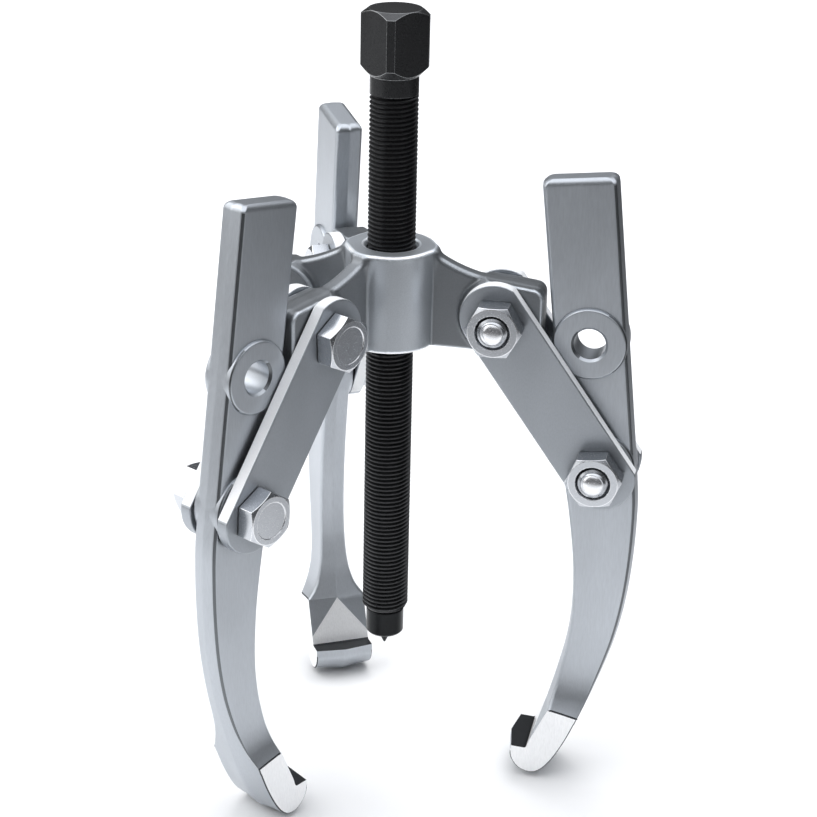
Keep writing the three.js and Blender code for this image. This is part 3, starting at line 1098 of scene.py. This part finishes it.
def painted_bolt_highlight():
    """Painted highlight on the edges of the bolts and nuts, and on the bolts' domed tips."""
    return steel("painted_bolt_highlight", (0.94, 0.95, 0.97), 0.24, 0.95, EVEN, 0.04, 0.05, 0.3)


def black_oxide():
    """The forcing screw."""
    return steel("black_oxide", (0.070, 0.071, 0.073), 0.29, 0.9, (1, 1, 0.6), 0.08, 0.2)


def black_tip():
    """The loose centre point."""
    return steel("black_tip", (0.022, 0.023, 0.024), 0.32, 0.9, (1, 1, 0.6), 0.08, 0.2)


def black_highlight():
    """Painted highlight on the screw head's bevelled edges."""
    return steel("black_highlight", (0.30, 0.305, 0.31), 0.25, 0.9, EVEN, 0.15, 0.2)


def painted_crease_shade():
    """Painted shade: a dark line along the broken edges of the feet."""
    return steel("painted_crease_shade", (0.05, 0.055, 0.06), 0.5, 0.7, EVEN, 0.1, 0.1)


looks = {
    "plated": plated(),
    "link": link_plate(),
    "link_highlight": painted_sheared_highlight(),
    "forged": forged(),
    "bright": bright_zinc(),
    "ground": ground_face(),
    "seat": hook_seat(),
    "corner": painted_corner_shade(),
    "edge": painted_bolt_highlight(),
    "black": black_oxide(),
    "black_tip": black_tip(),
    "black_highlight": black_highlight(),
    "crease": painted_crease_shade(),
}


# ---- assembly of the visible pieces ----

def show(name, mesh, matrix, slots, body, node):
    """A visible piece that stands for one CAD node."""
    mesh = mesh.copy()
    mesh.name = name
    mesh.transform(matrix)
    kinds = np.zeros(len(mesh.polygons), np.int32)
    mesh.polygons.foreach_get("material_index", kinds)
    mesh.materials.clear()
    for look in slots:
        mesh.materials.append(looks[look])
    mesh.polygons.foreach_set("material_index", kinds)
    obj = linked(mesh)
    obj.name = name
    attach(obj, body)
    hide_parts(node)


def show_screw():
    metres = Matrix.Scale(MM, 4)
    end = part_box("forcing_screw")[0].z / MM
    black = ["black", "black_highlight"]
    show("screw_with_thread", screw_mesh(end), metres, black, "screw", "forcing_screw")
    point = live_centre_mesh(end)
    show("live_centre_point", point, metres, ["black_tip"], "thrust_point", "live_centre")


def show_arm(arm, jaw, links, bolts, nuts):
    """One jaw with its two links, two bolts and two nuts, all from the shared meshes."""
    n = arm.number
    place = arm.matrix()
    show(f"jaw_{n}_forging", jaw, arm.jaw_matrix(), JAW_LOOKS, f"jaw_arm_{n}", f"jaw_{n}")
    for side, word in ((1, "head_side"), (-1, "nut_side")):
        node = f"link_{n}_{word}"
        show(f"{node}_plate", links[side], place, ["link", "link_highlight"], f"links_{n}", node)
    for which in ("upper", "lower"):
        body = "crosshead" if which == "upper" else f"lower_bolt_set_{n}"
        node = f"{which}_bolt_{n}"
        show(f"{node}_forged", bolts[which], place, ["bright", "edge"], body, node)
        node = f"{which}_nut_{n}"
        show(f"{node}_hex", nuts[which], place, ["bright", "edge"], body, node)


def build_object():
    same = Matrix.Identity(4)
    forging = crosshead_mesh(0.5)
    show("crosshead_forging", forging, same, ["forged"], "crosshead", "crosshead")
    show_screw()
    jaw = jaw_mesh()
    links = {side: link_mesh(side) for side in (1, -1)}
    bolts = {which: bolt_mesh(which) for which in ("upper", "lower")}
    nuts = {which: nut_mesh(which) for which in ("upper", "lower")}
    for arm in arms:
        show_arm(arm, jaw, links, bolts, nuts)


# ---- stage, light and camera ----

def build_stage():
    """A plain pale sheet, with painted shade in its reflections: what the steel mirrors of it falls
    off at the sides and in front.
    """
    z = cad_box[0].z - 0.0004
    half = 6
    corners = [(-half, -half, z), (half, -half, z), (half, half, z), (-half, half, z)]
    floor = linked(mesh_of(corners, [[0, 1, 2, 3]], "floor"))
    n = Nodes("floor_mirrored_shade")
    # X runs across the picture and Y away from the camera's first place.
    turn = n.add("ShaderNodeMapping", Vector=n.place, Rotation=(0, 0, -math.radians(VIEW_TURN)))
    parts = n.add("ShaderNodeSeparateXYZ", Vector=turn.outputs[0])
    left = n.ranged(parts.outputs["X"], 0.15, 1.0, -0.72, -0.40)
    right = n.ranged(parts.outputs["X"], 1.0, 0.0, 0.08, 0.40)
    near = n.ranged(parts.outputs["X"], 1.0, 0.12, 0.50, 0.60)
    ahead = n.times(n.ranged(parts.outputs["Y"], 1.0, 0.12, -0.20, -0.02), near)
    right = n.maths(right, ahead, "MAXIMUM")
    front = n.ranged(parts.outputs["Y"], 0.12, 1.0, -0.55, -0.21)
    # Painted shade: only glossy rays see the sheet darkened at the sides and in front; the camera sees
    # it plain.
    rays = n.add("ShaderNodeLightPath")
    mirrored = n.ranged(rays.outputs["Is Glossy Ray"], 1.0, 0.0, 0.0, 1.0)
    n.link(n.times(n.times(left, right), front), mirrored.node.inputs["To Max"])
    tone = n.times(mirrored, n.ranged(n.noise(30), 0.985, 1.015))
    n.link(n.tinted((0.86, 0.86, 0.86), tone), n.shader.inputs["Base Color"])
    n.shader.inputs["Roughness"].default_value = 0.8
    floor.data.materials.append(n.material)


def softbox(name, place, aim, size, power):
    """A rectangular lamp at place, turned towards aim."""
    light = bpy.data.lights.new(name, "AREA")
    light.shape = "RECTANGLE"
    light.size, light.size_y = size
    light.energy = power
    obj = bpy.data.objects.new(name, light)
    bpy.context.scene.collection.objects.link(obj)
    obj.location = place
    obj.rotation_mode = "QUATERNION"
    obj.rotation_quaternion = (Vector(aim) - Vector(place)).to_track_quat("-Z", "Y")
    return obj


def build_sky():
    """A dark room under a wide soft ceiling. The camera itself sees it plain and pale."""
    world = bpy.data.worlds.new("studio")
    world.use_nodes = True
    bpy.context.scene.world = world
    tree = world.node_tree
    place = tree.nodes.new("ShaderNodeTexCoord")
    parts = tree.nodes.new("ShaderNodeSeparateXYZ")
    ramp = tree.nodes.new("ShaderNodeValToRGB")
    tree.links.new(place.outputs["Generated"], parts.inputs[0])
    tree.links.new(parts.outputs["Z"], ramp.inputs["Fac"])
    levels = [(0.0, 0.05), (0.42, 0.05), (0.62, 0.42), (0.80, 0.8), (1.0, 0.9)]
    stops = ramp.color_ramp.elements
    while len(stops) < len(levels):
        stops.new(0.5)
    for stop, (height, shade) in zip(stops, levels):
        stop.position = height
        stop.color = (shade * 0.97, shade * 0.99, shade * 1.03, 1)
    background = tree.nodes["Background"]
    rays = tree.nodes.new("ShaderNodeLightPath")
    seen = tree.nodes.new("ShaderNodeMixRGB")
    seen.inputs["Color2"].default_value = (0.55, 0.55, 0.55, 1)
    tree.links.new(rays.outputs["Is Camera Ray"], seen.inputs["Fac"])
    tree.links.new(ramp.outputs["Color"], seen.inputs["Color1"])
    tree.links.new(seen.outputs["Color"], background.inputs["Color"])
    background.inputs["Strength"].default_value = 1.9


def build_light():
    build_sky()
    middle = (0, 0, -0.14)
    softbox("key_left", (-1.05, -0.25, 0.5), middle, (1.9, 1.4), 12)
    wash = softbox("back_wash", (0.1, 0.9, 1.3), (0, 0.75, -0.27), (1.6, 0.8), 13)
    wash.visible_glossy = False


def build_camera():
    """At the photograph's viewing angle, level with the crosshead and looking a little down."""
    data = bpy.data.cameras.new("camera")
    camera = bpy.data.objects.new("camera", data)
    bpy.context.scene.collection.objects.link(camera)
    azimuth, pitch, roll = (math.radians(a) for a in (VIEW_TURN, 22.872, 1.034))
    distance, height = 0.67272, 0.1459
    right = Vector((math.cos(azimuth), math.sin(azimuth), 0))
    level = Vector((-math.sin(azimuth), math.cos(azimuth), 0))
    ahead = level * math.cos(pitch) - Vector((0, 0, math.sin(pitch)))
    up = right.cross(ahead)
    x = right * math.cos(roll) + up * math.sin(roll)
    y = up * math.cos(roll) - right * math.sin(roll)
    rotation = Matrix((x, y, -ahead)).transposed()
    place = Matrix.Translation(-level * distance + Vector((0, 0, height)))
    camera.matrix_world = place @ rotation.to_4x4()
    data.sensor_width = 36
    data.lens = 94.11
    data.shift_x = 0.0244
    data.clip_start, data.clip_end = 0.05, 30
    bpy.context.scene.camera = camera


build_camera()
build_stage()
build_light()
build_object()
bpy.context.scene.view_settings.view_transform = "Standard"
